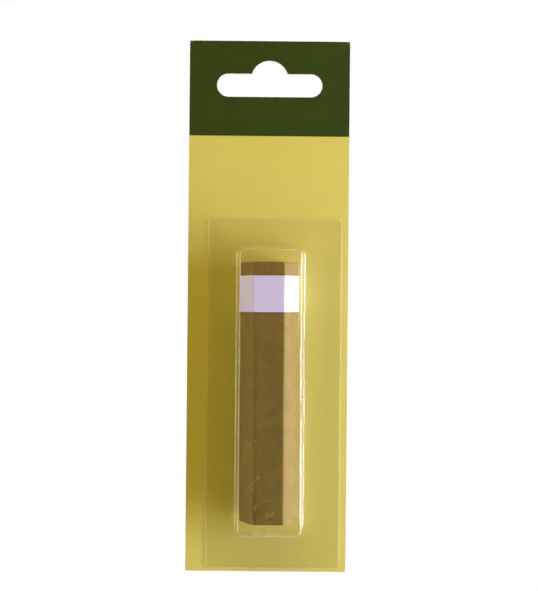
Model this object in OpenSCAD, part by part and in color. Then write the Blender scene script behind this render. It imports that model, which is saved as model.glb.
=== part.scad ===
// Furniture repair wax stick in its hanging blister pack.
// A hexagonal stick of hard wax with a paper shade label lies loose in the clear pocket of a
// formed blister, and the rim of the blister is heat sealed to the front of a printed hang card.
// Frame: Z is up, the front faces -Y and X runs to the right of someone looking at the front.
// The origin is the crown of the hang slot, on the front face of the card, where a hook carries it.

/* [Wax stick] */
// Length of the stick
stick_l = 77.1; // [40:0.1:110]
// Width of the hexagon across its flats
stick_af = 15; // [11:0.1:18]
// Rounding of the six long edges
stick_corner_r = 0.25; // [0.1:0.05:2]
// Rounding round the rim of both end faces
stick_end_r = 0.4; // [0.2:0.05:1.5]

/* [Shade label] */
// Height of the paper band
label_h = 10.7; // [5:0.1:25]
// Thickness of the paper
label_t = 0.12; // [0.06:0.01:0.25]
// Distance from the top of the stick to the top of the band
label_from_top = 4; // [1:0.1:20]
// Length of the tail that laps over the start of the band
label_lap = 5; // [2:0.1:7]

/* [Blister pocket] */
// Thickness of the clear sheet
sheet_t = 0.3; // [0.15:0.01:0.4]
// Lean of the pocket walls, in degrees
pocket_draft = 4; // [1:0.5:8]
// Outer radius of the edge between the walls and the front panel
front_edge_r = 0.55; // [0.5:0.05:2.5]
// Outer radius of the foot, where the walls turn out into the rim
foot_r = 0.4; // [0.3:0.05:2]
// Radius in plan of the corners, at the centres of the front edge
pocket_corner_r = 1.1; // [0.2:0.05:4]
// Radius in plan of the corners, at the centres of the foot
foot_corner_r = 2.3; // [1:0.05:6]
// Room between the stick and the left wall
room_left = 0.55; // [0.2:0.05:2]
// Room between the stick and the right wall
room_right = 0.9; // [0.2:0.05:3]
// Room between the label and the front panel
room_front = 0.25; // [0.1:0.05:1]
// Room between the label and the card
room_back = 0.05; // [0.02:0.01:0.3]
// How far the stick can slide up from where it lies
travel_up = 3.4; // [1:0.05:12]
// How far the stick can slide down from where it lies
travel_down = 2.9; // [1:0.05:12]
// Room left between the stick and the end wall at both ends of the slide
stop_gap = 0.15; // [0.1:0.05:0.5]

/* [Blister rim] */
// Width of the sealed rim on the left of the pocket
rim_left = 8.4; // [3:0.05:14]
// Width of the sealed rim on the right of the pocket
rim_right = 10.8; // [3:0.05:12]
// Width of the sealed rim above the pocket
rim_top = 8.2; // [3:0.05:30]
// Width of the sealed rim below the pocket
rim_bottom = 10.85; // [3:0.05:20]
// Radius of the cut corners of the rim
rim_corner_r = 0.6; // [0.2:0.05:3]

/* [Card] */
// Width of the card
card_w = 48.7; // [46:0.1:80]
// Height of the card
card_h = 161.2; // [150:0.1:220]
// Thickness of the board
card_t = 0.5; // [0.3:0.05:1]
// Distance of the pocket's middle to the right of the card's middle
pocket_offset = 0.85; // [-1:0.05:1.2]
// Margin of bare card below the rim of the blister
rim_margin = 1; // [0.5:0.1:10]

/* [Hang slot] */
// Length of the slot over its round ends
slot_w = 32; // [26:0.1:36]
// Height of the straight bar of the slot
slot_bar_h = 7; // [5:0.1:9]
// Height of the hump above the bar
slot_rise = 4; // [2:0.1:5]
// Radius of the hump
hump_r = 5.65; // [4.5:0.05:8]
// Board between the crown of the hump and the top edge of the card
slot_margin = 6; // [3:0.1:15]

/* [Hidden] */
$fn = 64;

// How far a cut runs past the face that it opens
overrun = 1;

// The hexagon: sides, the angle between them, and steps along each rounded long edge and end rim
hex_sides = 6;
hex_turn = 360 / hex_sides;
corner_steps = 4;
end_steps = 4;
// Steps along the rounded edges of the pocket's wall section, and round its corners in plan
edge_steps = 6;
plan_steps = 6;

// Half the width of the rounded hexagon from corner to corner
stick_half_w = (stick_af / 2 - stick_corner_r) / cos(hex_turn / 2) + stick_corner_r;

// Heights above the card: the stick's back and front flats, its axis and the front panel
stick_back = room_back + label_t;
stick_front = stick_back + stick_af;
stick_axis = stick_back + stick_af / 2;
pocket_depth = stick_front + label_t + room_front + sheet_t;

// The wall section: the height of the front edge's centre, and that centre's distance from the
// pocket's middle, set so that the leaning wall clears the stick's corners by the rooms given
edge_inner_r = front_edge_r - sheet_t;
edge_centre_h = pocket_depth - front_edge_r;
wall_top_h = edge_centre_h + edge_inner_r * sin(pocket_draft);
lean_above_axis = (wall_top_h - stick_axis) * tan(pocket_draft);
stick_room_half_w = stick_half_w + label_t + (room_left + room_right) / 2;
edge_half_w = stick_room_half_w - edge_inner_r * cos(pocket_draft) - lean_above_axis;

// The end walls: the rounded inner edge meets the front of the stick first, so the stops are there
front_over_centre = stick_front - edge_centre_h;
edge_reach = front_over_centre > 0 ? sqrt(pow(edge_inner_r, 2) - pow(front_over_centre, 2)) : edge_inner_r;
stick_room_half_l = (stick_l + travel_up + travel_down) / 2 + stop_gap;
edge_half_l = stick_room_half_l - edge_reach;

// The foot: how far the wall's lean and its two rounded edges carry it out past the front edge
foot_centre_h = sheet_t + foot_r;
wall_h = edge_centre_h - foot_centre_h;
wall_lean = wall_h * sin(pocket_draft);
foot_out = (front_edge_r + foot_r + wall_lean) / cos(pocket_draft);
foot_half_w = edge_half_w + foot_out;
foot_half_l = edge_half_l + foot_out;
wall_turn = 180 + pocket_draft;
// How much the radius of the corners changes on the way down the wall, besides what the lean adds
corner_change = foot_corner_r - foot_out - pocket_corner_r;

// Places on the card, from the crown of the hang slot
card_bottom = slot_margin - card_h;
rim_low = card_bottom + rim_margin;
pocket_z = rim_low + rim_bottom + foot_half_l;
stick_x = pocket_offset + (room_left - room_right) / 2;
stick_z = pocket_z + (travel_down - travel_up) / 2;
label_z = stick_z + stick_l / 2 - label_from_top - label_h;

// The rounded hexagon with a flat to the front, as points round the origin
function hex_points(af, corner_r) = [
    for (k = [0 : hex_sides - 1], j = [0 : corner_steps])
        let (
            corner = hex_turn * k,
            turn = corner + hex_turn * (j / corner_steps - 1 / 2),
            out = (af / 2 - corner_r) / cos(hex_turn / 2)
        )
        out * [cos(corner), sin(corner)] + corner_r * [cos(turn), sin(turn)]
];

// The same hexagon drawn in by an inset and lifted to a height
function hex_ring(inset, height) = [
    for (p = hex_points(stick_af - 2 * inset, stick_corner_r)) [p[0], p[1], height]
];

// Points along an arc
function arc(centre, radius, start, end, steps) = [
    for (i = [0 : steps])
        let (turn = start + (end - start) * i / steps)
        centre + radius * [cos(turn), sin(turn)]
];

// The wall's section, as distances out from the front edge's centre line and heights above the card:
// the rounded front edge, and the rounded foot where the wall turns out into the rim
function edge_skin(radius, start, end) = arc([0, edge_centre_h], radius, start, end, edge_steps);
function foot_skin(radius, start, end) = arc([foot_out, foot_centre_h], radius, start, end, edge_steps);

// A rectangle with round corners at a height above the card, given by its edges
function rect_ring(left, right, bottom, top, corner_r, height) = [
    for (k = [0 : 3], j = [0 : plan_steps])
        let (
            turn = 90 * (k + j / plan_steps),
            x = k == 0 || k == 3 ? right - corner_r : left + corner_r,
            y = k < 2 ? top - corner_r : bottom + corner_r
        )
        [x + corner_r * cos(turn), y + corner_r * sin(turn), height]
];

// The ring round the pocket through a point of the wall's section
function pocket_ring(p) =
    let (
        half_w = edge_half_w + p[0],
        half_l = edge_half_l + p[0],
        share = min(max((edge_centre_h - p[1]) / wall_h, 0), 1),
        corner_r = pocket_corner_r + p[0] + corner_change * share
    )
    rect_ring(-half_w, half_w, -half_l, half_l, corner_r, p[1]);

// The cut edge of the rim at a height above the card
function rim_ring(height) = rect_ring(
    -foot_half_w - rim_left, foot_half_w + rim_right,
    -foot_half_l - rim_bottom, foot_half_l + rim_top, rim_corner_r, height
);

// Joins closed rings of equal count into one solid with flat ends
module loft(rings) {
    count = len(rings[0]);
    last = len(rings) - 1;
    sides = [
        for (k = [0 : last - 1], j = [0 : count - 1])
            let (next = (j + 1) % count)
            [k * count + j, (k + 1) * count + j, (k + 1) * count + next, k * count + next]
    ];
    bottom = [for (j = [0 : count - 1]) j];
    top = [for (j = [count - 1 : -1 : 0]) last * count + j];
    points = [for (ring = rings) each ring];
    polyhedron(points = points, faces = concat([bottom], sides, [top]));
}

// Stands a shape up that is drawn lying face up: its Y becomes height, its Z comes out of the front
module on_card() {
    rotate([90, 0, 0]) children();
}

// The hang slot: a bar with round ends and a hump in the middle of its upper edge
module hang_slot() {
    bar_r = slot_bar_h / 2;
    bar_run = slot_w / 2 - bar_r;
    bar_mid = -slot_rise - bar_r;
    for (side = [-1, 1])
        translate([side * bar_run, bar_mid]) circle(bar_r);
    translate([-bar_run, bar_mid - bar_r]) square([2 * bar_run, slot_bar_h]);
    intersection() {
        translate([0, -hump_r]) circle(hump_r);
        translate([-hump_r, bar_mid]) square([2 * hump_r, -bar_mid]);
    }
}

// Printed board with the hang slot punched through it
module backing_card() {
    color("khaki") on_card() difference() {
        translate([-card_w / 2, card_bottom, -card_t]) cube([card_w, card_h, card_t]);
        translate([0, 0, -card_t - overrun]) linear_extrude(card_t + 2 * overrun) hang_slot();
    }
}

// Clear formed sheet: the pocket that holds the stick, and the rim that is sealed to the card.
// One loft runs down the inside of the pocket, round the cut edge of the rim and up the outside.
module blister() {
    inside = concat(edge_skin(edge_inner_r, 90, pocket_draft), foot_skin(foot_r + sheet_t, wall_turn, 270));
    outside = concat(foot_skin(foot_r, 270, wall_turn), edge_skin(front_edge_r, pocket_draft, 90));
    rings = concat(
        [for (p = inside) pocket_ring(p)],
        [rim_ring(0), rim_ring(sheet_t)],
        [for (p = outside) pocket_ring(p)]
    );
    color("whitesmoke", 0.35) on_card() translate([pocket_offset, pocket_z, 0]) loft(rings);
}

// Hexagonal stick of hard wax, lofted through rings that draw in round both ends
module wax_stick() {
    half_l = stick_l / 2;
    lower = [
        for (i = [end_steps : -1 : 0])
            let (turn = 90 * i / end_steps)
            hex_ring(stick_end_r * (1 - cos(turn)), -half_l + stick_end_r * (1 - sin(turn)))
    ];
    upper = [
        for (i = [0 : end_steps])
            let (turn = 90 * i / end_steps)
            hex_ring(stick_end_r * (1 - cos(turn)), half_l - stick_end_r * (1 - sin(turn)))
    ];
    color("olive") translate([stick_x, -stick_axis, stick_z]) loft(concat(lower, upper));
}

// Paper band stuck round the stick, its tail lapped over its start on the flat at the back left
module shade_label() {
    lap_turn = hex_turn * 5 / 2;
    color("white") translate([stick_x, -stick_axis, label_z]) {
        linear_extrude(label_h) difference() {
            polygon(hex_points(stick_af + 2 * label_t, stick_corner_r + label_t));
            polygon(hex_points(stick_af, stick_corner_r));
        }
        rotate([0, 0, lap_turn]) translate([stick_af / 2, -label_lap / 2, 0])
            cube([2 * label_t, label_lap, label_h]);
    }
}

backing_card();
blister();
wax_stick();
shade_label();
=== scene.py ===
"""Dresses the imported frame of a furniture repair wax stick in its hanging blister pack."""

import math

import bmesh
import bpy
import numpy as np
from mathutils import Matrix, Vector


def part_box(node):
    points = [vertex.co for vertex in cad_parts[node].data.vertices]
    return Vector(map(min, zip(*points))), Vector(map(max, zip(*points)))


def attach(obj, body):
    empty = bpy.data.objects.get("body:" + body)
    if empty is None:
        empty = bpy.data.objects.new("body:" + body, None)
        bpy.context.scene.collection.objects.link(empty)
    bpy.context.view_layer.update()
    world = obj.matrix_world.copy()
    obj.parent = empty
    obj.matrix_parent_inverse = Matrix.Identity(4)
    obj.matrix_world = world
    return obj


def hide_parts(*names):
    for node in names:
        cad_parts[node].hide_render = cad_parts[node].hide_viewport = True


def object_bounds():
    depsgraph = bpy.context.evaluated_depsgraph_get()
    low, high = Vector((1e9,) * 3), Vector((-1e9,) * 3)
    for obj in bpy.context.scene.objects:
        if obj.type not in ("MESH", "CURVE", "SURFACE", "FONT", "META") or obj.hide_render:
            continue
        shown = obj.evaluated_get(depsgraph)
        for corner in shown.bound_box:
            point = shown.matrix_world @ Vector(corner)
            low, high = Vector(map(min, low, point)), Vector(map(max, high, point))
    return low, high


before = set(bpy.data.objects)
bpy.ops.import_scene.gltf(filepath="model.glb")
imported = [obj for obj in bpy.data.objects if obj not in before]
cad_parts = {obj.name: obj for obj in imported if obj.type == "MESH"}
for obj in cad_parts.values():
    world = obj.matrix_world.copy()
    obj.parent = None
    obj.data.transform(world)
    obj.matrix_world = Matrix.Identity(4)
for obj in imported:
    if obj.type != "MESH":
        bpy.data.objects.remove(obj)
cad_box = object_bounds()

MM = 0.001

# Sizes that the frame's boxes don't give, as they are in the part's source.
SHEET_T = 0.3 * MM
POCKET_DRAFT = 4
FRONT_EDGE_R = 0.55 * MM
FOOT_R = 0.4 * MM
POCKET_CORNER_R = 1.1 * MM
FOOT_CORNER_R = 2.3 * MM
RIM_LEFT, RIM_RIGHT = 8.4 * MM, 10.8 * MM
RIM_TOP, RIM_BOTTOM = 8.2 * MM, 10.85 * MM
RIM_CORNER_R = 0.6 * MM
STICK_CORNER_R = 0.25 * MM
STICK_END_R = 0.4 * MM
LABEL_T = 0.12 * MM
LABEL_LAP = 5 * MM
HEX_SIDES = 6
SLOT_BAR_R = 3.5 * MM
SLOT_BAR_RUN = 12.5 * MM
SLOT_BAR_Z = -7.5 * MM
SLOT_HUMP_R = 5.65 * MM

# The camera that took the picture, fitted to the corners of the card, the rim and the slot.
PHOTO_HEIGHT = 591
CAMERA_PLACE = (0.37 * MM, -385.8 * MM, -71.34 * MM)
CAMERA_ROLL = -0.0094
FOCAL_PIXELS = 1269.1
SENSOR = 36.0


# Shader nodes


class Wire:
    """The value at an output socket. Sums with wires and numbers add the Math nodes they need."""

    def __init__(self, finish, socket):
        self.finish, self.socket = finish, socket

    def out(self, name):
        """Another output of the same node."""
        return Wire(self.finish, self.finish.find(self.socket.node.outputs, name))

    def __add__(self, other):
        return self.finish.math("ADD", self, other)

    __radd__ = __add__

    def __sub__(self, other):
        return self.finish.math("SUBTRACT", self, other)

    def __rsub__(self, other):
        return self.finish.math("SUBTRACT", other, self)

    def __mul__(self, other):
        return self.finish.math("MULTIPLY", self, other)

    def __pow__(self, other):
        return self.finish.math("POWER", self, other)

    def __abs__(self):
        return self.finish.math("ABSOLUTE", self)

    def root(self):
        return self.finish.math("SQRT", self)

    def larger(self, other):
        return self.finish.math("MAXIMUM", self, other)

    def smaller(self, other):
        return self.finish.math("MINIMUM", self, other)

    def rise(self, low, high):
        """A soft step: 0 where the value is low or less, and 1 where it is high or more."""
        settings = {"interpolation_type": "SMOOTHSTEP"}
        inlets = {"Value": self, "From Min": low, "From Max": high}
        return self.finish.add("ShaderNodeMapRange", settings, inlets)

    def fall(self, low, high):
        """The same step the other way up."""
        return 1 - self.rise(low, high)


class Finish:
    """A node tree under construction, with one method that adds any node."""

    def __init__(self, tree):
        self.tree = tree
        tree.nodes.clear()

    @staticmethod
    def find(sockets, key):
        if isinstance(key, int):
            return sockets[key]
        return next(s for s in sockets if key in (s.identifier, s.name))

    def add(self, kind, settings=None, inlets=None, outlet=0):
        """Adds a node, sets its settings, then the values or wires of its inputs."""
        node = self.tree.nodes.new(kind)
        for name, value in (settings or {}).items():
            setattr(node, name, value)
        for name, value in (inlets or {}).items():
            socket = self.find(node.inputs, name)
            if isinstance(value, Wire):
                self.tree.links.new(value.socket, socket)
            elif socket.type == "RGBA":
                socket.default_value = (*value, 1)
            else:
                socket.default_value = value
        return Wire(self, self.find(node.outputs, outlet)) if node.outputs else None

    def math(self, operation, *terms):
        return self.add("ShaderNodeMath", {"operation": operation}, dict(enumerate(terms)))

    def mix(self, share, first, second):
        """A colour between two others."""
        inlets = {"Factor_Float": share, "A_Color": first, "B_Color": second}
        return self.add("ShaderNodeMix", {"data_type": "RGBA"}, inlets, "Result_Color")

    def shade(self, colour, value):
        """A colour made darker or lighter by a value near 1."""
        inlets = {"Vector": colour, "Scale": value}
        return self.add("ShaderNodeVectorMath", {"operation": "SCALE"}, inlets)

    def place(self):
        """The point on the piece, in the part's own frame."""
        return self.add("ShaderNodeTexCoord", outlet="Object")

    def axes(self, place):
        """The point's distances along the three axes."""
        spot = self.add("ShaderNodeSeparateXYZ", {}, {0: place})
        return spot.out("X"), spot.out("Y"), spot.out("Z")

    def stretched(self, place, x, y, z):
        """The point with its axes drawn out, so that a noise runs in streaks."""
        inlets = {0: place, 1: (x, y, z)}
        return self.add("ShaderNodeVectorMath", {"operation": "DIVIDE"}, inlets)

    def noise(self, place, grain, detail=2.0, harsh=0.5):
        """Noise from 0 to 1 whose lumps are about one grain across."""
        inlets = {"Vector": place, "Scale": 1 / grain, "Detail": detail, "Roughness": harsh}
        return self.add("ShaderNodeTexNoise", {}, inlets, "Fac")

    def mark(self, name):
        """A value that the mesh carries at its points."""
        return self.add("ShaderNodeAttribute", {"attribute_name": name}, outlet="Fac")

    def bump(self, height, depth):
        """A normal for a relief of that depth in metres, at half strength."""
        inlets = {"Height": height, "Distance": depth, "Strength": 0.5}
        return self.add("ShaderNodeBump", {}, inlets)

    def body(self, **inlets):
        """An opaque shader, its inputs named with underscores for spaces."""
        named = {name.replace("_", " "): value for name, value in inlets.items()}
        return self.add("ShaderNodeBsdfPrincipled", {}, named)

    def blend(self, share, first, second):
        """A shader between two others."""
        return self.add("ShaderNodeMixShader", {}, {0: share, 1: first, 2: second})

    def surface(self, shader):
        self.add("ShaderNodeOutputMaterial", {}, {"Surface": shader})


def new_finish(name):
    material = bpy.data.materials.new(name)
    material.use_nodes = True
    return material, Finish(material.node_tree)


def ink(red, green, blue):
    """A colour from its 0 to 255 screen values."""
    return tuple(
        c / 12.92 if c <= 0.04045 else ((c + 0.055) / 1.055) ** 2.4
        for c in (red / 255, green / 255, blue / 255)
    )


# Materials. Where a colour is a pair, the surface is clouded between the two.

YELLOW_PRINT = ink(204, 191, 94), ink(210, 198, 103)
GREEN_PRINT = ink(46, 60, 18), ink(53, 67, 21)
PRINT_SPECK = ink(236, 228, 196)
BOARD_CORE = ink(226, 217, 192)
BOARD_LAYER = ink(186, 174, 146)
BOARD_BACK = ink(198, 192, 178), ink(224, 220, 209)
BACK_STAIN = ink(205, 194, 168)
BACK_FLECK = ink(146, 132, 108)
BACK_HANDLED = ink(176, 164, 140)
# Where the green header of the print ends and the yellow begins, and how ragged and soft that is.
PRINT_LINE_Z = -22.9 * MM
PRINT_RAGGED = 0.12 * MM
PRINT_SOFT = 0.04 * MM
# How far behind a face of the board its cut edge begins, and where it shows fully.
EDGE_BEGINS, EDGE_SHOWS = 0.02 * MM, 0.06 * MM


def from_cuts(x, z, low, high):
    """How far a point of the board is from its nearest cut edge, the slot's too, and corner."""
    from_side = (high.x - low.x) / 2 - abs(x - (high.x + low.x) / 2)
    from_end = (high.z - low.z) / 2 - abs(z - (high.z + low.z) / 2)
    along_bar = (abs(x) - SLOT_BAR_RUN).larger(0)
    below_bar = z - SLOT_BAR_Z
    from_bar = (along_bar * along_bar + below_bar * below_bar).root() - SLOT_BAR_R
    below_hump = z + SLOT_HUMP_R
    under_bar = (SLOT_BAR_Z - z).larger(0)
    from_hump = (x * x + below_hump * below_hump).root() - SLOT_HUMP_R + under_bar
    from_cut = from_side.smaller(from_end).smaller(from_bar).smaller(from_hump)
    from_corner = (from_side * from_side + from_end * from_end).root()
    return from_cut, from_corner


def printed_board():
    """Board with a green and yellow print in front, a bare grey-white back and pale cut edges."""
    material, finish = new_finish("printed_board")
    low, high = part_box("backing_card")
    place = finish.place()
    x, y, z = finish.axes(place)
    from_cut, from_corner = from_cuts(x, z, low, high)

    # The print: two solid inks with a slightly ragged line between them.
    ragged = finish.noise(place, 0.5 * MM) * PRINT_RAGGED - PRINT_RAGGED / 2
    header = (z + ragged).rise(PRINT_LINE_Z - PRINT_SOFT, PRINT_LINE_Z + PRINT_SOFT)
    cloud = finish.noise(place, 9 * MM, 3)
    grain = finish.noise(place, 0.35 * MM, 3, 0.7)
    colour = finish.mix(header, finish.mix(cloud, *YELLOW_PRINT), finish.mix(cloud, *GREEN_PRINT))
    colour = finish.shade(colour, 0.95 + grain * 0.1)
    speck = finish.noise(place, 0.7 * MM, 1).rise(0.74, 0.8)
    colour = finish.mix(speck * (0.22 - header * 0.16), colour, PRINT_SPECK)

    # Ink rubbed off the cut edges, most at the corners of the board.
    patchy = finish.noise(place, 1.6 * MM, 3, 0.65)
    reach = patchy * (0.3 * MM) - 0.14 * MM + from_corner.fall(0, 2 * MM) * (0.16 * MM)
    rubbed = (from_cut - reach).fall(-0.05 * MM, 0.08 * MM) * 0.6
    front = finish.mix(rubbed, colour, BOARD_CORE)

    # The back and the cut edges: fibres, flecks and the layers of the board.
    fibre = finish.noise(finish.stretched(place, 3, 1, 1), 0.45 * MM, 4, 0.7)
    fleck = finish.noise(finish.stretched(place, 1, 1, 2.5), 0.55 * MM, 1).rise(0.68, 0.76)
    stain = finish.noise(place, 18 * MM, 3)
    handled = (from_cut - patchy * (1.4 * MM)).fall(-0.6 * MM, 0.9 * MM)
    back = finish.mix(fibre, *BOARD_BACK)
    back = finish.mix(stain.rise(0.45, 0.75) * 0.35, back, BACK_STAIN)
    back = finish.mix(fleck * 0.55, back, BACK_FLECK)
    back = finish.mix(handled * 0.35, back, BACK_HANDLED)
    layer = finish.noise(finish.stretched(place, 6, 0.2, 6), 0.5 * MM, 2)
    edge = finish.mix(layer, BOARD_LAYER, BOARD_CORE)

    on_edge = y.rise(EDGE_BEGINS, EDGE_SHOWS)
    on_back = y.rise(high.y - EDGE_SHOWS, high.y - EDGE_BEGINS)
    bare = on_edge.larger(rubbed)
    relief = grain * 0.4 + cloud * 0.6 + fibre * on_edge
    shader = finish.body(
        Base_Color=finish.mix(on_back, finish.mix(on_edge, front, edge), back),
        Roughness=0.66 + grain * 0.12 + bare * 0.2,
        IOR=1.5,
        Specular_IOR_Level=0.08,
        Normal=finish.bump(relief, 0.03 * MM),
    )
    finish.surface(shader)
    return material


CLEAR_TINT = (0.997, 0.997, 0.995)
GLOSS_TINT = (1.0, 0.98, 0.85)
FROST = ink(238, 234, 208)
# The share of light that the sheet mirrors when seen head on, and what a bend adds to it.
HEAD_ON = 0.042
BEND_GLEAM = 0.055


def clear_sheet():
    """Thin formed plastic: clear, glossy, a little hazed along its bends, with a frosted edge."""
    material, finish = new_finish("clear_sheet")
    place = finish.place()
    bend, cut = finish.mark("bend"), finish.mark("cut")
    foot_end, sealed = finish.mark("foot_end"), finish.mark("sealed")

    orange_peel = finish.noise(place, 3.5 * MM, 1)
    dull = finish.noise(place, 7 * MM, 2)
    # Rubbing marks: short scratches one way on the panel, and scuffs round its lower end.
    streaks = finish.noise(finish.stretched(place, 0.35, 1, 9), 0.6 * MM, 2, 0.6)
    scratch = streaks.rise(0.66, 0.74) * dull.rise(0.45, 0.6)
    scuffing = finish.noise(finish.stretched(place, 1.2, 1, 1), 0.8 * MM, 1)
    scuff = (scuffing + foot_end * 0.06).rise(0.57, 0.63) * foot_end
    haze = 0.003 + bend * (0.002 + dull * 0.006) + scratch * 0.03 + scuff * 0.22 + cut * 0.15

    # A bend also gleams from inside the sheet. The face that is sealed to the card mirrors nothing.
    facing = finish.add("ShaderNodeLayerWeight", {}, {"Blend": 0.5}, "Facing")
    mirror = (HEAD_ON + facing**5 * (1 - HEAD_ON) + bend * BEND_GLEAM) * (1 - sealed)
    clear = finish.add("ShaderNodeBsdfTransparent", {}, {"Color": CLEAR_TINT})
    gloss = finish.add(
        "ShaderNodeBsdfAnisotropic",
        {},
        {
            "Color": GLOSS_TINT,
            "Roughness": 0.03 + bend * 0.01 + scratch * 0.1 + cut * 0.25,
            "Normal": finish.bump(orange_peel, 0.05 * MM),
        },
    )
    frost = finish.body(Base_Color=FROST, Roughness=0.45 + dull * 0.2, IOR=1.5)
    finish.surface(finish.blend(haze, finish.blend(mirror, clear, gloss), frost))
    return material


WAX = ink(137, 113, 54), ink(147, 122, 61)
# Dark specks, pits and marks, and painted shade along the front left edge and the label's edges.
WAX_DARK_AND_SHADE = ink(74, 58, 24)
# A painted highlight to the left of the front left edge.
WAX_PAINTED_HIGHLIGHT = ink(156, 131, 80)
WAX_CRUMB = ink(206, 190, 120)


def hard_wax():
    """Cast hard wax: one brown all through, clouded, streaked, with pale scuffs and crumbs."""
    material, finish = new_finish("hard_wax")
    place = finish.place()
    cloud = finish.noise(place, 5 * MM, 4, 0.6)
    streak = finish.noise(finish.stretched(place, 1, 1, 14), 0.9 * MM, 3, 0.6)
    grain = finish.noise(place, 0.4 * MM, 3, 0.7)
    speck = finish.noise(place, 0.55 * MM, 1).rise(0.73, 0.79)
    crumbs = finish.noise(place, 0.5 * MM, 2, 0.6)
    rubbed = finish.mark("long_edge") * finish.noise(place, 1.3 * MM, 3).rise(0.48, 0.7)
    pale = (finish.mark("scuff") + crumbs * 0.6 - 0.3).rise(0.28, 0.6).larger(rubbed * 0.2)

    colour = finish.mix(cloud.rise(0.3, 0.7), *WAX)
    colour = finish.shade(colour, 0.9 + streak * 0.12 + grain * 0.08)
    # Dark specks and marks, together with painted shade along the front left edge and the label.
    colour = finish.mix((speck * 0.35).larger(finish.mark("dark_marks_and_shade")), colour, WAX_DARK_AND_SHADE)
    # A painted highlight to the left of the front left edge.
    colour = finish.mix(finish.mark("strip"), colour, WAX_PAINTED_HIGHLIGHT)
    colour = finish.mix(pale * 0.5, colour, WAX_CRUMB)
    shader = finish.body(
        Base_Color=colour,
        Roughness=0.52 + grain * 0.1 + pale * 0.25,
        IOR=1.45,
        Specular_IOR_Level=0.25,
        Normal=finish.bump(grain * 0.6 + streak * 0.6, 0.04 * MM),
    )
    finish.surface(shader)
    return material


PAPER = ink(243, 236, 254), ink(247, 241, 255)
PAPER_FLECK = ink(190, 174, 196)
PAPER_FOLD = ink(250, 244, 254)
PAPER_EDGE = ink(252, 247, 255)
# Brightened paper gives back a little blue of its own: a painted blue glow, which shines even where
# no lamp falls.
PAINTED_GLOW_COLOUR, PAINTED_GLOW_STRENGTH = (0.0, 0.0, 1.0), 0.2


def label_paper():
    """Smooth lavender-white paper with a little fibre, whiter where it is bent and at its edges,
    with a painted blue glow.
    """
    material, finish = new_finish("label_paper")
    place = finish.place()
    fibre = finish.noise(finish.stretched(place, 3, 3, 1), 0.3 * MM, 4, 0.7)
    cloud = finish.noise(place, 4 * MM, 3)
    fleck = finish.noise(place, 0.5 * MM, 1).rise(0.73, 0.8)
    colour = finish.shade(finish.mix(cloud, *PAPER), 0.95 + fibre * 0.08)
    colour = finish.mix(fleck * 0.3, colour, PAPER_FLECK)
    colour = finish.mix(finish.mark("fold") * (0.25 + cloud * 0.4), colour, PAPER_FOLD)
    colour = finish.mix(finish.mark("paper_edge") * 0.6, colour, PAPER_EDGE)
    shader = finish.body(
        Base_Color=colour,
        Roughness=0.5 + fibre * 0.14,
        IOR=1.45,
        # A painted blue glow that no lamp gives.
        Emission_Color=PAINTED_GLOW_COLOUR,
        Emission_Strength=PAINTED_GLOW_STRENGTH,
        Normal=finish.bump(fibre, 0.015 * MM),
    )
    finish.surface(shader)
    return material


# Meshes


def arc(centre, radius, start, end, steps):
    """Points along an arc, from one angle in degrees to another."""
    turns = np.radians(np.linspace(start, end, steps + 1))
    return np.array(centre) + radius * np.column_stack([np.cos(turns), np.sin(turns)])


def hump(distance, reach):
    """1 at no distance, falling smoothly to nearly 0 at twice the reach."""
    return np.exp(-((distance / reach) ** 2))


def ripple(points, wavelength, seed, waves=9):
    """A smooth uneven height between -1 and 1 at each point, the same on every run."""
    dice = np.random.default_rng(seed)
    ways = dice.normal(size=(waves, 3))
    ways /= np.linalg.norm(ways, axis=1)[:, None]
    ways /= wavelength * dice.uniform(0.7, 1.7, (waves, 1))
    phases = dice.uniform(0, 2 * np.pi, waves)
    height = np.sin(2 * np.pi * points @ ways.T + phases).sum(-1)
    return np.clip(height / math.sqrt(2 * waves), -1, 1)


def loft_faces(rows, count):
    """The quads between closed rings of equal count."""
    first = np.arange(rows - 1)[:, None] * count
    point = np.arange(count)[None, :]
    after = (point + 1) % count
    corners = [first + point, first + after, first + count + after, first + count + point]
    return np.stack(corners, -1).reshape(-1, 4)


def mesh_piece(name, points, faces, marks, material, body, node):
    """Makes a closed piece with values at its points. It stands for a node and rides on a body."""
    mesh = bpy.data.meshes.new(name)
    mesh.from_pydata(points.tolist(), [], [list(map(int, f)) for f in faces])
    for mark, values in marks.items():
        layer = mesh.attributes.new(mark, "FLOAT", "POINT")
        layer.data.foreach_set("value", np.asarray(values, np.float32))
    build = bmesh.new()
    build.from_mesh(mesh)
    bmesh.ops.remove_doubles(build, verts=build.verts, dist=0.0001 * MM)
    bmesh.ops.recalc_face_normals(build, faces=build.faces)
    build.to_mesh(mesh)
    build.free()
    mesh.shade_smooth()
    mesh.materials.append(material)
    piece = bpy.data.objects.new(name, mesh)
    bpy.context.scene.collection.objects.link(piece)
    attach(piece, body)
    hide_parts(node)


# The blister

PLAN_STEPS = 8
LONG_STEPS = 96
SHORT_STEPS = 20
BEND_STEPS = 10
# Where the rows of points lie: on the panel as shares of its half width in from its edge, and on
# the wall as shares of the way down.
PANEL_SHARES = np.array([1, 0.86, 0.72, 0.58, 0.44, 0.3, 0.18, 0.08, 0.02])
WALL_SHARES = np.array([0.04, 0.15, 0.3, 0.5, 0.7, 0.85, 0.96])
# The rim stays this far off the card, so that the two faces don't coincide.
SEAL_GAP = 0.02 * MM
# The cut edge of the rim is broken by this much, and whitened for as far as this on both faces.
NIP = 0.07 * MM
CUT_FADES, CUT_GONE = 0.28 * MM, 0.6 * MM
PANEL_RIPPLE, RIPPLE_LENGTH = 0.035 * MM, 22 * MM
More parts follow.
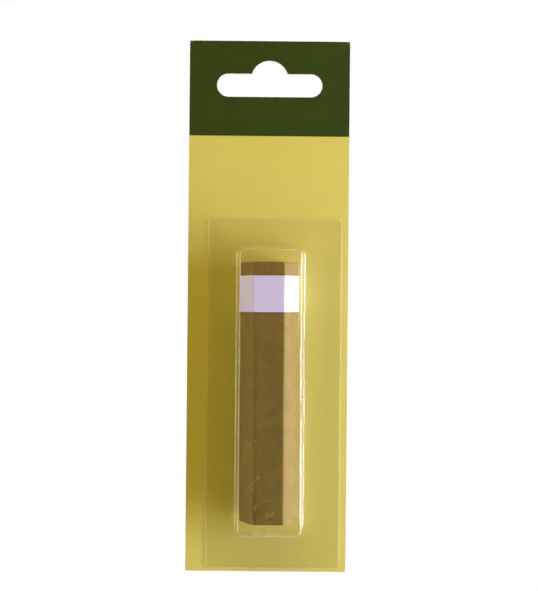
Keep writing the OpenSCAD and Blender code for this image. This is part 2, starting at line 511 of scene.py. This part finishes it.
# The right wall stands out by this much at its front edge and its foot, fully at the lower end.
# That begins a little above the pocket's middle and grows over a run.
EDGE_STANDS_OUT, FOOT_STANDS_OUT = 0.32 * MM, 0.16 * MM
WALL_OUT_FROM, WALL_OUT_RUN = 14 * MM, 52 * MM
# A bend at the foot shows this share of what a bend at the front edge shows.
FOOT_FIRM = 0.9
# The scuffs on the panel: how far up they reach, where they are thickest and how wide that is.
SCUFF_REACH, SCUFF_X, SCUFF_HALF_W = 1.6 * MM, -1.5 * MM, 4 * MM
# The seal is hottest above the pocket. There the rim lies so close to the print that it mirrors
# this much less.
HOT_SEAL = 0.45


def rounded_rectangle(left, right, bottom, top, corner_r):
    """Points round a rectangle with round corners, and the way out at each."""
    centres = [
        (right - corner_r, top - corner_r),
        (left + corner_r, top - corner_r),
        (left + corner_r, bottom + corner_r),
        (right - corner_r, bottom + corner_r),
    ]
    points, ways = [], []
    for k, centre in enumerate(centres):
        bend = arc(centre, corner_r, 90 * k, 90 * k + 90, PLAN_STEPS)
        way = arc((0, 0), 1, 90 * k, 90 * k + 90, PLAN_STEPS)
        after = np.array(centres[(k + 1) % 4]) + corner_r * way[-1]
        steps = SHORT_STEPS if k % 2 == 0 else LONG_STEPS
        share = np.arange(1, steps)[:, None] / steps
        points += [bend, bend[-1] + (after - bend[-1]) * share]
        ways += [way, np.repeat(way[-1:], steps - 1, axis=0)]
    return np.concatenate(points), np.concatenate(ways)


class Blister:
    """The formed sheet as rows of points, seen from the front round the middle of the pocket.

    A row is a ring with its ways out, its height over the card, how far it follows the ripple
    outwards and upwards, and its marks.
    """

    def __init__(self):
        low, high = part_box("blister")
        self.rows = []
        self.front_y = low.y
        self.depth = -low.y
        self.foot_half_w = (high.x - low.x - RIM_LEFT - RIM_RIGHT) / 2
        self.foot_half_l = (high.z - low.z - RIM_TOP - RIM_BOTTOM) / 2
        self.middle_x = low.x + RIM_LEFT + self.foot_half_w
        self.middle_z = low.z + RIM_BOTTOM + self.foot_half_l
        self.lean = math.radians(POCKET_DRAFT)
        self.edge_h = self.depth - FRONT_EDGE_R
        self.foot_h = SHEET_T + FOOT_R
        wall_lean = (self.edge_h - self.foot_h) * math.sin(self.lean)
        self.foot_out = (FRONT_EDGE_R + FOOT_R + wall_lean) / math.cos(self.lean)
        self.edge_half_w = self.foot_half_w - self.foot_out
        self.edge_half_l = self.foot_half_l - self.foot_out

    def add_row(self, ring, height, lift=(0, 0), bend=0.0, cut=0.0):
        sealed = 1.0 if height <= SEAL_GAP else 0.0
        self.rows.append((*ring, height, lift, {"bend": bend, "cut": cut, "sealed": sealed}))

    def pocket_row(self, out, height, lift, bend=0.0):
        """A row of the pocket, that far out from the edge of its flat panel."""
        half_w, half_l = self.edge_half_w + out, self.edge_half_l + out
        if out < 0:
            corner_r = POCKET_CORNER_R * (1 + out / self.edge_half_w)
        else:
            down = min(max((self.edge_h - height) / (self.edge_h - self.foot_h), 0), 1)
            corner_change = FOOT_CORNER_R - self.foot_out - POCKET_CORNER_R
            corner_r = POCKET_CORNER_R + out + corner_change * down
        plan, ways = rounded_rectangle(-half_w, half_w, -half_l, half_l, corner_r)
        right = np.clip(plan[:, 0] / self.edge_half_w, 0, 1)
        lower = np.clip((WALL_OUT_FROM - plan[:, 1]) / WALL_OUT_RUN, 0, 1)
        further_out = (EDGE_STANDS_OUT - FOOT_STANDS_OUT) * height / self.edge_h
        plan[:, 0] += right * lower * (FOOT_STANDS_OUT + further_out)
        self.add_row((plan, ways), height, lift, bend)

    def rim_row(self, inset, height, cut):
        """A row of the rim, that far in from its cut edge."""
        ring = rounded_rectangle(
            -self.foot_half_w - RIM_LEFT + inset,
            self.foot_half_w + RIM_RIGHT - inset,
            -self.foot_half_l - RIM_BOTTOM + inset,
            self.foot_half_l + RIM_TOP - inset,
            max(RIM_CORNER_R - inset, 0.1 * MM),
        )
        self.add_row(ring, height, cut=cut)

    def pocket_face(self, edge_r, foot_r, panel_h):
        """The rows of one face of the sheet, from the middle of the panel down to the foot."""
        for inset in self.edge_half_w * PANEL_SHARES:
            self.pocket_row(-inset, panel_h, (0, 1))
        edge = arc((0, self.edge_h), edge_r, 90, POCKET_DRAFT, BEND_STEPS)
        foot = arc((self.foot_out, self.foot_h), foot_r, 180 + POCKET_DRAFT, 270, BEND_STEPS)
        for k, (out, height) in enumerate(edge):
            turn = math.pi / 2 + (self.lean - math.pi / 2) * k / BEND_STEPS
            firm = math.sin(math.pi * k / BEND_STEPS)
            self.pocket_row(out, height, (math.cos(turn), math.sin(turn)), firm)
        for share in WALL_SHARES:
            out, height = edge[-1] + (foot[0] - edge[-1]) * share
            self.pocket_row(out, height, (1 - share, 0))
        for k, (out, height) in enumerate(foot):
            firm = FOOT_FIRM * math.sin(math.pi * k / BEND_STEPS)
            self.pocket_row(out, max(height, SEAL_GAP), (0, 0), firm)

    def cut_edge(self):
        """The rows from the lower face of the rim round its cut edge to the upper face."""
        self.rim_row(CUT_GONE, SEAL_GAP, 0)
        self.rim_row(CUT_FADES, SEAL_GAP, 0.3)
        self.rim_row(NIP, SEAL_GAP, 1)
        self.rim_row(NIP * 0.3, SEAL_GAP + NIP * 0.3, 1)
        self.rim_row(0, SEAL_GAP + NIP, 1)
        self.rim_row(0, SHEET_T - NIP, 1)
        self.rim_row(NIP * 0.3, SHEET_T - NIP * 0.3, 1)
        self.rim_row(NIP, SHEET_T, 1)
        self.rim_row(CUT_FADES, SHEET_T, 0.3)
        self.rim_row(CUT_GONE, SHEET_T, 0)

    def points(self):
        """The points of all rows in the part's frame, with the ripple of the sheet."""
        rings = []
        for plan, ways, height, (lift_out, lift_up), _ in self.rows:
            flat = np.column_stack([plan, np.zeros(len(plan))])
            wave = ripple(flat, RIPPLE_LENGTH, 11) * PANEL_RIPPLE
            spread = plan + ways * (wave * lift_out)[:, None]
            x, z = self.middle_x + spread[:, 0], self.middle_z + spread[:, 1]
            rings.append(np.column_stack([x, -(height + wave * lift_up), z]))
        points = np.concatenate(rings)
        points[:, 1] = np.maximum(points[:, 1], self.front_y)
        return points

    def marks(self, points):
        """The marks of the rows at each point, the scuffs on the panel and the hot seal."""
        count = len(self.rows[0][0])
        marks = {
            name: np.repeat([values[name] for *_, values in self.rows], count)
            for name in ("bend", "cut", "sealed")
        }
        lower_end, upper_end = self.middle_z - self.edge_half_l, self.middle_z + self.edge_half_l
        thick = hump(points[:, 0] - self.middle_x - SCUFF_X, SCUFF_HALF_W)
        low_down = hump(points[:, 2] - lower_end, SCUFF_REACH)
        on_panel = points[:, 1] < -self.edge_h
        marks["foot_end"] = low_down * (0.3 + 0.7 * thick) * on_panel
        hot = (points[:, 2] > upper_end) & (points[:, 1] > -1.2 * SHEET_T)
        marks["sealed"] = np.maximum(marks["sealed"], HOT_SEAL * hot)
        return marks


def form_blister(material):
    """The clear sheet as one closed skin: down inside the pocket, round the rim, up the outside."""
    sheet = Blister()
    sheet.pocket_face(FRONT_EDGE_R - SHEET_T, FOOT_R + SHEET_T, sheet.depth - SHEET_T)
    sheet.cut_edge()
    inner_rows = len(sheet.rows)
    sheet.pocket_face(FRONT_EDGE_R, FOOT_R, sheet.depth)
    sheet.rows[inner_rows:] = sheet.rows[inner_rows:][::-1]

    points = sheet.points()
    marks = sheet.marks(points)
    faces = loft_faces(len(sheet.rows), len(points) // len(sheet.rows))
    mesh_piece(
        "clear_blister", points, faces, marks, material, "pack", "blister"
    )


# The wax stick

HEX_CORNER_STEPS = 6
# The long edges are counted from the one at the right, seen from above.
LEFT, FRONT_LEFT = 3, 4
# The stick isn't quite true: its front left edge lies this far to the left, and its top this far.
FRONT_EDGE_OFF = 0.3 * MM
TOP_OFF = 0.2 * MM
# Places across a flat as shares of its width, close together next to the long edges, which stay
# crisp that way.
FLAT_SHARES = np.concatenate([[0.004, 0.012], np.linspace(0.03, 0.97, 38), [0.988, 0.996]])
STICK_ROWS = 360
END_STEPS = 6
CAP_RINGS = 12
# How far the flats have sunk in their middle, and how uneven they are.
FLAT_SINK, FLAT_UNEVEN = 0.02 * MM, 0.02 * MM
# How far the end faces are dished, and how uneven that is.
END_DISH, END_UNEVEN = 0.22 * MM, 0.03 * MM
PIT_COUNT = 150
# The long edges with the number of nicks in each.
NICKS = ((0, 7), (1, 7), (2, 7), (LEFT, 9), (5, 6), (FRONT_LEFT, 18))
# The front left edge: the middle and reach of a painted highlight in a strip to its left and of
# painted shade in a strip on the front flat, how far both wander, how far up the shade is
# stronger, and how many crumbs lie on the highlight.
PALE_STRIP_AT, PALE_STRIP_REACH = 0.9 * MM, 0.75 * MM
DARK_STRIP_AT, DARK_STRIP_REACH = 0.75 * MM, 0.5 * MM
STRIP_WANDER = 0.15 * MM
DARK_LOW_DOWN = 13 * MM
CRUMB_COUNT = 34
# A point closer than this to the plane of a flat lies on the flat.
ON_FLAT = 0.12 * MM
# Marks that face the front: millimetres right of its middle and up from the lower end, half width
# and half height, how far the mark leans, and how pale it is, or how dark where that is below 0.
FRONT_MARKS = (
    (-3.4, 13.6, 0.3, 0.6, 0.5, 1.0),
    (-2.8, 14.1, 0.35, 0.3, 0.6, 0.9),
    (-3.8, 5.1, 0.28, 0.7, 0.25, 1.0),
    (-3.5, 5.7, 0.22, 0.4, 0.6, 0.7),
    (-4.2, 9.4, 0.4, 0.25, 0, 0.55),
    (-0.5, 7.3, 0.3, 0.25, 0, 0.85),
    (-0.2, 3.3, 0.25, 0.5, 0.2, 0.85),
    (0.5, 2.9, 0.4, 0.25, -0.3, 0.75),
    (1.1, 3.5, 0.3, 0.5, 0.4, 1.0),
    (-0.1, 2.3, 0.25, 0.3, 0.3, 0.75),
    (1.1, 1.2, 0.25, 0.25, 0, 0.5),
    (-1.1, 2.1, 0.4, 0.25, 0, 0.5),
    (-3.7, 24.8, 0.28, 0.3, 0.5, 0.9),
    (-3.3, 29.3, 0.25, 0.25, 0, 0.55),
    (-1.0, 60.0, 0.25, 0.25, 0, 0.55),
    (3.7, 59.8, 0.22, 0.35, 0, 0.85),
    (3.7, 61.4, 0.2, 0.25, 0, 0.5),
    (-5.35, 57.8, 0.3, 0.4, 0, 1.0),
    (-5.9, 58.3, 0.25, 0.25, 0, 0.6),
    (-7.1, 60.0, 0.25, 0.25, 0, 0.6),
    (-7.4, 39.8, 0.25, 0.5, 0.3, 0.85),
    (-5.5, 52.7, 0.22, 0.4, 0, 0.55),
    (-5.4, 30.8, 0.22, 0.3, 0, 0.55),
    (-0.4, 76.0, 0.16, 0.5, 0.9, 0.5),
    (-1.25, 27.8, 0.24, 0.22, 0, -0.6),
    (-0.1, 27.7, 0.24, 0.26, 0, -0.55),
    (0.15, 47.5, 0.34, 0.26, 0, -0.55),
    (4.0, 51.2, 0.28, 0.3, 0, -0.6),
    (0.4, 1.9, 0.7, 0.25, 0, -0.35),
    (1.7, 33.9, 0.15, 0.8, 0.5, -0.4),
    (0.0, 25.8, 1.2, 0.15, 0, -0.2),
)
# Steps along a mark, as shares of its half height, how deep it is and how far it reaches inwards.
MARK_STEPS = np.linspace(-0.9, 0.9, 5)
MARK_DEEP, MARK_INWARD = 0.012 * MM, 0.6 * MM
# The wax has painted shade in a line this narrow along both edges of the label.
LABEL_LINE_REACH, LABEL_LINE_SHADE = 0.32 * MM, 0.3


def hexagon(flat_half, corner_r):
    """Points round a rounded hexagon with a flat in front, their ways out, and 1 on a long edge."""
    points, ways, rounded = [], [], []
    turn = 360 / HEX_SIDES
    reach = (flat_half - corner_r) / math.cos(math.radians(turn / 2))
    turns = np.radians(turn * np.arange(HEX_SIDES))
    centres = [reach * np.array([math.cos(a), math.sin(a)]) for a in turns]
    centres[FRONT_LEFT] += (-FRONT_EDGE_OFF, 0)
    for k, centre in enumerate(centres):
        start = turn * (k - 0.5)
        bend = arc(centre, corner_r, start, start + turn, HEX_CORNER_STEPS)
        way = arc((0, 0), 1, start, start + turn, HEX_CORNER_STEPS)
        after = centres[(k + 1) % HEX_SIDES] + corner_r * way[-1]
        points += [bend, bend[-1] + (after - bend[-1]) * FLAT_SHARES[:, None]]
        ways += [way, np.repeat(way[-1:], len(FLAT_SHARES), axis=0)]
        rounded += [np.ones(len(bend)), np.zeros(len(FLAT_SHARES))]
    return np.concatenate(points), np.concatenate(ways), np.concatenate(rounded)


def lies_off(z):
    """How far to the left of its place the loose stick lies at a height."""
    low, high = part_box("wax_stick")
    return TOP_OFF * (z - low.z) / (high.z - low.z)


class Stick:
    """The skin of the stick: its points, how deep each is pressed in, and how scuffed or dark."""

    def __init__(self):
        self.low, self.high = low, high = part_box("wax_stick")
        self.axis = np.array([(low.x + high.x) / 2, (low.y + high.y) / 2])
        self.flat_half = (high.y - low.y) / 2
        self.flat_half_w = self.flat_half * math.tan(math.pi / HEX_SIDES)
        self.turn = 2 * math.pi / HEX_SIDES
        plan, ways, rounded = hexagon(self.flat_half, STICK_CORNER_R)
        self.corner_reach = plan[:, 0].max()

        rings = self.rings(plan, ways)
        self.count = len(plan)
        self.ring_count = len(rings)
        self.points = np.concatenate(
            [np.column_stack([ring + self.axis, np.full(self.count, z)]) for ring, z, _ in rings]
        )
        self.on_body = np.repeat([on_body for *_, on_body in rings], self.count)
        flat_ways = np.column_stack([ways, np.zeros(self.count)])
        self.ways = np.tile(flat_ways, (self.ring_count, 1))
        self.long_edges = np.tile(rounded, self.ring_count) * self.on_body

        across = (ways[:, 0] * plan[:, 1] - ways[:, 1] * plan[:, 0]) / self.flat_half_w
        sunk = np.tile(np.clip(1 - across**2, 0, 1), self.ring_count)
        uneven = 1 + ripple(self.points, 9 * MM, 3)
        self.depth = self.on_body * (FLAT_SINK * sunk + FLAT_UNEVEN * uneven)
        self.scuff = np.zeros(len(self.points))
        self.dark_marks_and_shade = np.zeros(len(self.points))
        self.strip = np.zeros(len(self.points))

    def rings(self, plan, ways):
        """The rings from the lower end up, each with its height, and 1 if it is on the flats."""
        turns = np.linspace(0, math.pi / 2, END_STEPS + 1)[::-1]
        insets = STICK_END_R * (1 - np.cos(turns))
        rises = STICK_END_R * (1 - np.sin(turns))
        cap_plan = plan - ways * STICK_END_R
        cap_scales = np.linspace(0, 1, CAP_RINGS + 1)[:-1]
        ends = []
        for end, sign in ((self.low.z, 1), (self.high.z, -1)):
            cap = [(cap_plan * scale, end, 0.0) for scale in cap_scales]
            rim = [(plan - ways * i, end + sign * r, 0.0) for i, r in zip(insets, rises)]
            ends.append((cap + rim)[::sign])
        heights = np.linspace(self.low.z + STICK_END_R, self.high.z - STICK_END_R, STICK_ROWS)
        return ends[0] + [(plan, z, 1.0) for z in heights[1:-1]] + ends[1]

    def up(self, share):
        """The height at a share of the stick's length."""
        return self.low.z + share * (self.high.z - self.low.z)

    def long_edge(self, corner):
        """Where a long edge is, from the axis."""
        way = np.array([math.cos(corner * self.turn), math.sin(corner * self.turn)])
        return way * self.corner_reach - (FRONT_EDGE_OFF * (corner == FRONT_LEFT), 0)

    def knock(self, centre, size, deep, pale=0.0, dark=0.0):
        """Presses in a dent of a size along each axis, and scuffs or darkens it."""
        near = np.exp(-((((self.points - centre) / size) ** 2).sum(1)))
        self.depth = self.depth + near * deep * self.on_body
        self.scuff = np.maximum(self.scuff, near * pale)
        self.dark_marks_and_shade = np.maximum(self.dark_marks_and_shade, near * dark)

    def pit_all_over(self, dice):
        """Pits and specks, some pale, some dark."""
        for _ in range(PIT_COUNT):
            spot = self.points[dice.integers(len(self.points))]
            size = dice.uniform(0.18, 0.36) * MM
            pale, dark = ((0.5, 0), (0, 0.3), (0, 0))[dice.integers(3)]
            size = (size, size, size * dice.uniform(1, 2))
            self.knock(spot, size, dice.uniform(0.02, 0.06) * MM, pale, dark)

    def nick_long_edges(self, dice):
        """Nicks along the long edges, more of them low on the front left edge."""
        for corner, nicks in NICKS:
            place = self.axis + self.long_edge(corner)
            for _ in range(nicks):
                share = dice.beta(1, 2.2) if corner == FRONT_LEFT else dice.uniform()
                wide = dice.uniform(0.2, 0.45) * MM
                size = (wide, wide, wide * dice.uniform(0.7, 2))
                deep = dice.uniform(0.04, 0.1) * MM
                self.knock((*place, self.up(share)), size, deep, dice.uniform(0.3, 0.9))

    def light_and_crumbs_at_front_left_edge(self, dice):
        """A painted highlight in a strip to the left of the edge, with a row of crumbs, and painted
        shade in a strip on the front. The shade grows towards the lower end.
        """
        edge = self.long_edge(FRONT_LEFT) + self.axis
        left_way = self.long_edge(LEFT) - self.long_edge(FRONT_LEFT)
        left_way /= np.linalg.norm(left_way)
        front_way = np.array([1.0, 0.0])
        from_edge = self.points[:, :2] - edge
        on_left, on_front = from_edge @ left_way, from_edge @ front_way
        left_flat = np.abs(from_edge - np.outer(on_left, left_way)).max(1) < ON_FLAT
        front_flat = np.abs(from_edge - np.outer(on_front, front_way)).max(1) < ON_FLAT
        wander = STRIP_WANDER * ripple(self.points * (0, 0, 1), 7 * MM, 17)
        pale = hump(on_left - PALE_STRIP_AT - wander, PALE_STRIP_REACH) * left_flat
        dark = hump(on_front - DARK_STRIP_AT + wander, DARK_STRIP_REACH) * front_flat
        dark = dark * (0.14 + 0.2 * hump(self.points[:, 2] - self.low.z, DARK_LOW_DOWN))
        self.strip = 0.35 * pale * self.on_body
        self.dark_marks_and_shade = np.maximum(self.dark_marks_and_shade, dark * self.on_body)
        for _ in range(CRUMB_COUNT):
            place = edge + left_way * dice.uniform(0.2, 1.1) * MM
            size = dice.uniform(0.12, 0.24) * MM
            spot = (*place, self.up(dice.uniform(0.03, 0.83)))
            size = (size, size, size * dice.uniform(1, 2.4))
            self.knock(spot, size, 0.02 * MM, dice.uniform(0.2, 0.6))

    def mark_front(self, dice):
        """The listed marks. A pale one is a row of crumbs, and a dark one a plain smear."""
        for right, rise, half_w, half_h, lean, tone in FRONT_MARKS:
            for step in MARK_STEPS:
                x = (right + lean * half_h * step) * MM
                size = (half_w * MM, MARK_INWARD, 0.45 * half_h * MM)
                pale = 0
                if tone > 0:
                    x += half_w * dice.uniform(-1.4, 1.4) * MM
                    crumb = dice.uniform(0.19, 0.3) * MM
                    size = (crumb, MARK_INWARD, crumb)
                    pale = tone * dice.uniform(0.5, 1.15)
                back = max(abs(x) - self.flat_half_w, 0) * math.tan(self.turn)
                z = self.low.z + (rise + half_h * step) * MM
                spot = (self.axis[0] + x, self.low.y + back, z)
                self.knock(spot, size, MARK_DEEP, pale, max(-tone, 0))

    def paint_shade_along_label(self):
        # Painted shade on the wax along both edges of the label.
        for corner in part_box("shade_label"):
            line = hump(self.points[:, 2] - corner.z, LABEL_LINE_REACH)
            self.dark_marks_and_shade = np.maximum(self.dark_marks_and_shade, LABEL_LINE_SHADE * line * self.on_body)

    def pressed(self):
        """The points with all dents pressed in and the ends dished, where the loose stick lies."""
        points = self.points - self.ways * self.depth[:, None]
        for end, sign in ((self.low.z, 1), (self.high.z, -1)):
            cap = abs(points[:, 2] - end) < 0.001 * MM
            radius = np.linalg.norm(points[cap, :2] - self.axis, axis=1) / self.flat_half
            uneven = (1 + ripple(points[cap], 3 * MM, 5)) * (radius < 0.9)
            dish = END_DISH * np.clip(1 - radius**2, 0, 1) + END_UNEVEN * uneven
            points[cap, 2] += sign * dish
        points[:, 0] -= lies_off(points[:, 2])
        return points


def cast_wax_stick(material):
    """The stick: a rounded hexagon with sunken flats, pits, nicked long edges and scrapes, with
    painted light and shade along its front left edge and painted shade along the label.
    """
    stick = Stick()
    dice = np.random.default_rng(29)
    stick.pit_all_over(dice)
    stick.nick_long_edges(dice)
    stick.light_and_crumbs_at_front_left_edge(dice)
    stick.mark_front(dice)
    stick.paint_shade_along_label()
    marks = {
        "scuff": stick.scuff,
        "dark_marks_and_shade": stick.dark_marks_and_shade,
        "strip": stick.strip,
        "long_edge": stick.long_edges,
    }
    points = stick.pressed()
    faces = loft_faces(stick.ring_count, stick.count)
    mesh_piece("cast_wax_stick", points, faces, marks, material, "stick", "wax_stick")


# The label

LABEL_ROWS = 26
# The paper stays this far off what it is stuck to, and its glue is uneven by this much.
LABEL_GRIP = 0.012 * MM
LABEL_BUBBLE = 0.011 * MM
# The lap lies on the flat that faces this way, and the tail climbs over the start within a ramp.
LAP_TURN = 150
LAP_RAMP, RAMP_STEPS = 1.6 * MM, 9
# The last part of the tail has come off by this much.
TAIL_LOOSE, TAIL_LIFT = 1.2 * MM, 0.04 * MM
# How wavy the two cut edges are, and how far the lower one dips at the left.
LABEL_WAVY, LABEL_DIP, DIP_RUN = 0.05 * MM, 0.14 * MM, 8 * MM
# The share of the label's height that looks whiter along its cut edges.
WHITE_EDGE = 0.02
# Columns of points are no closer than this to the ends of the strip.
COLUMN_GAP = 0.01 * MM


def wrap_shade_label(material):
    """The paper band: wound once round the stick, its tail lapped over its start, edges wavy."""
    low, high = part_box("shade_label")
    stick_low, stick_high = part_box("wax_stick")
    axis = np.array([(stick_low.x + stick_high.x) / 2, (stick_low.y + stick_high.y) / 2])
    plan, ways, rounded = hexagon((stick_high.y - stick_low.y) / 2, STICK_CORNER_R)
    steps = np.linalg.norm(np.roll(plan, -1, axis=0) - plan, axis=1)
    perimeter = steps.sum()
    along = np.concatenate([[0], np.cumsum(steps)])

    # Of the points on the flat with the lap, the one closest to the axis is in its middle.
    lap_turn = math.radians(LAP_TURN)
    lap_way = np.array([math.cos(lap_turn), math.sin(lap_turn)])
    middle = along[np.argmax(plan @ lap_way - 0.001 * np.linalg.norm(plan, axis=1))]
    start = middle - LABEL_LAP / 2
    end = start + perimeter + LABEL_LAP
    ramp_end = start + perimeter

    # Columns of points along the strip: at each point of the hexagon, closer together on the ramp.
    columns = np.concatenate([along[:-1] + turn * perimeter for turn in (-1, 0, 1, 2)])
    columns = columns[(columns > start + COLUMN_GAP) & (columns < end - COLUMN_GAP)]
    ramp = ramp_end - np.linspace(0, LAP_RAMP, RAMP_STEPS)
    columns = np.unique(np.concatenate([[start, end], columns, ramp]))

    def at_columns(values):
        closed = np.concatenate([values, values[:1]])
        return np.interp(columns % perimeter, along, closed)

    base = np.column_stack([at_columns(values) for values in plan.T])
    out = np.column_stack([at_columns(values) for values in ways.T])
    out /= np.linalg.norm(out, axis=1)[:, None]
    bent = at_columns(rounded)
    climb = np.clip((columns - (ramp_end - LAP_RAMP)) / LAP_RAMP, 0, 1)
    climb = climb * climb * (3 - 2 * climb)
    loose = np.clip((columns - (end - TAIL_LOOSE)) / TAIL_LOOSE, 0, 1) ** 2
    inner = LABEL_GRIP + climb * (LABEL_T + LABEL_GRIP) + loose * TAIL_LIFT

    flat = np.column_stack([base, np.zeros(len(base))])
    dip = np.clip(-out[:, 0], 0, 1) * np.clip(-base[:, 0] / DIP_RUN, 0, 1)
    top = high.z + LABEL_WAVY * ripple(flat, 9 * MM, 41)
    bottom = low.z + LABEL_WAVY * ripple(flat, 7 * MM, 43) - LABEL_DIP * dip
    shares = np.linspace(0, 1, LABEL_ROWS)
    heights = bottom[:, None] + (top - bottom)[:, None] * shares
    spots = np.concatenate([np.repeat(base[:, None], LABEL_ROWS, 1), heights[..., None]], -1)
    bubble = LABEL_BUBBLE * (1 + ripple(spots, 6 * MM, 47))

    # Each ring of the skin goes up the inner face of a column and down its outer face.
    away = inner[:, None] + np.hstack([bubble, LABEL_T + bubble[:, ::-1]])
    places = axis + base[:, None] + out[:, None] * away[..., None]
    rings = np.concatenate([places, np.hstack([heights, heights[:, ::-1]])[..., None]], -1)
    points = rings.reshape(-1, 3)
    points[:, 0] -= lies_off(points[:, 2])
    white = hump(np.minimum(shares, 1 - shares), WHITE_EDGE)
    count = 2 * LABEL_ROWS
    marks = {
        "fold": np.repeat(bent, count),
        "paper_edge": np.tile(np.concatenate([white, white[::-1]]), len(columns)),
    }
    faces = loft_faces(len(columns), count).tolist()
    last = (len(columns) - 1) * count
    for i in range(LABEL_ROWS - 1):
        quad = [i, i + 1, count - 2 - i, count - 1 - i]
        faces += [quad, [last + corner for corner in quad[::-1]]]
    mesh_piece(
        "wrapped_shade_label", points, faces, marks, material, "stick", "shade_label"
    )


# The studio

FLOOR_DROP = 250 * MM
FLOOR_HALF = 3.0
FLOOR_COLOUR = (0.85, 0.79, 0.66)
# How much of the floor near the pack is plain white, and where it has become all white.
FLOOR_GLOW = 0.9
FLOOR_NEAR, FLOOR_FAR = 0.15, 0.38
DARK_CARD_Y, DARK_CARD_HALF_W, DARK_CARD_TOP = -0.44, 0.4, 0.4
DARK = (0.02, 0.02, 0.02)
WHITE = (1, 1, 1)
WARM = (1.0, 0.77, 0.03)
AMBIENT = 0.14
PACK_MIDDLE = (0.0, 0.0, -0.1)
# Each lamp: the way to it in metres, degrees in front of the card's plane, lift above the pack's
# middle, width and height, power and colour. The window stands low on the right, and a pale wall
# returns some of its light from the left. The window's light is a little cool, and what the room
# returns is warm.
WINDOW = (0.6, 15.2, -0.08, (0.08, 0.55), 8.15, (1.0, 1.07, 1.5))
WALL = (0.9, 9, -0.05, (0.6, 0.5), 2.7, (1.0, 0.9, 0.5))
TOP_PLACE, TOP_SIZE, TOP_POWER = (0.0, -0.15, 0.35), (0.3, 0.3), 1.4
BACK_PLACE, BACK_SIZE, BACK_POWER = (0.2, 0.9, 0.25), (0.9, 0.9), 5.0


def seen_directly(finish):
    """1 for rays that show the background: from the camera, mirrored or through something clear."""
    path = finish.add("ShaderNodeLightPath")
    kinds = ("Is Camera Ray", "Is Glossy Ray", "Is Transmission Ray")
    first, second, third = (path.out(kind) for kind in kinds)
    return first.larger(second).larger(third)


def set_world():
    world = bpy.data.worlds.new("studio")
    bpy.context.scene.world = world
    world.use_nodes = True
    finish = Finish(world.node_tree)
    seen = seen_directly(finish)
    strength = AMBIENT + seen * (1 - AMBIENT)
    colour = finish.mix(seen, WARM, WHITE)
    sky = finish.add("ShaderNodeBackground", {}, {"Color": colour, "Strength": strength})
    finish.add("ShaderNodeOutputWorld", {}, {"Surface": sky})


def flat_panel(name, corners, material):
    mesh = bpy.data.meshes.new(name)
    mesh.from_pydata(corners, [], [(0, 1, 2, 3)])
    mesh.materials.append(material)
    panel = bpy.data.objects.new(name, mesh)
    bpy.context.scene.collection.objects.link(panel)
    return panel


def lay_floor():
    """A pale floor under the hanging pack: it keeps the shadow and is plain white further off."""
    material, finish = new_finish("pale_floor")
    matt = finish.add("ShaderNodeBsdfDiffuse", {}, {"Color": FLOOR_COLOUR})
    glow = finish.add("ShaderNodeEmission", {}, {"Color": WHITE, "Strength": 1.0})
    x, y, _ = finish.axes(finish.place())
    far = (x * x + y * y).root().rise(FLOOR_NEAR, FLOOR_FAR)
    share = seen_directly(finish) * (FLOOR_GLOW + far * (1 - FLOOR_GLOW))
    finish.surface(finish.blend(share, matt, glow))
    z, side = cad_box[0].z - FLOOR_DROP, FLOOR_HALF
    corners = [(-side, -side, z), (side, -side, z), (side, side, z), (-side, side, z)]
    flat_panel("floor", corners, material)


def hang_dark_card():
    """A dark card behind the camera, so that the flat clear faces don't mirror a white room."""
    material, finish = new_finish("dark_card")
    finish.surface(finish.add("ShaderNodeBsdfDiffuse", {}, {"Color": DARK}))
    y, side = DARK_CARD_Y, DARK_CARD_HALF_W
    low_z, high_z = cad_box[0].z - FLOOR_DROP, DARK_CARD_TOP
    corners = [(-side, y, low_z), (side, y, low_z), (side, y, high_z), (-side, y, high_z)]
    card = flat_panel("dark_card", corners, material)
    card.visible_camera = card.visible_diffuse = card.visible_shadow = False
    card.visible_transmission = False


def soft_lamp(name, place, size, power, colour=WHITE):
    """A large even lamp that faces the middle of the pack."""
    lamp = bpy.data.lights.new(name, "AREA")
    lamp.shape = "RECTANGLE"
    lamp.size, lamp.size_y = size
    lamp.energy, lamp.color = power, colour
    holder = bpy.data.objects.new(name, lamp)
    bpy.context.scene.collection.objects.link(holder)
    holder.location = place
    way = Vector(PACK_MIDDLE) - Vector(place)
    holder.rotation_euler = way.to_track_quat("-Z", "Y").to_euler()
    return holder


def side_lamp(name, side, lamp):
    """A lamp to the right (1) or left (-1) of the pack."""
    way, degrees, lift, size, power, colour = lamp
    x, y, z = PACK_MIDDLE
    turn = math.radians(degrees)
    place = (x + side * way * math.cos(turn), y - way * math.sin(turn), z + lift)
    soft_lamp(name, place, size, power, colour)


def set_lamps():
    side_lamp("window_right", 1, WINDOW)
    side_lamp("wall_left", -1, WALL)
    # The light from above stands for the whole warm room, so it leaves no line on the clear sheet.
    room = soft_lamp("soft_top", TOP_PLACE, TOP_SIZE, TOP_POWER, WARM)
    room.visible_glossy = False
    soft_lamp("soft_back", BACK_PLACE, BACK_SIZE, BACK_POWER)


def set_camera():
    lens = bpy.data.cameras.new("photo_camera")
    lens.sensor_width = SENSOR
    lens.lens = FOCAL_PIXELS * SENSOR / PHOTO_HEIGHT
    camera = bpy.data.objects.new("photo_camera", lens)
    bpy.context.scene.collection.objects.link(camera)
    camera.location = CAMERA_PLACE
    camera.rotation_euler = (math.pi / 2, CAMERA_ROLL, 0)
    bpy.context.scene.camera = camera


set_camera()
set_world()
lay_floor()
hang_dark_card()
set_lamps()
bpy.context.scene.view_settings.view_transform = "Standard"

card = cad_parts["backing_card"]
card.data.materials.clear()
card.data.materials.append(printed_board())
form_blister(clear_sheet())
cast_wax_stick(hard_wax())
wrap_shade_label(label_paper())
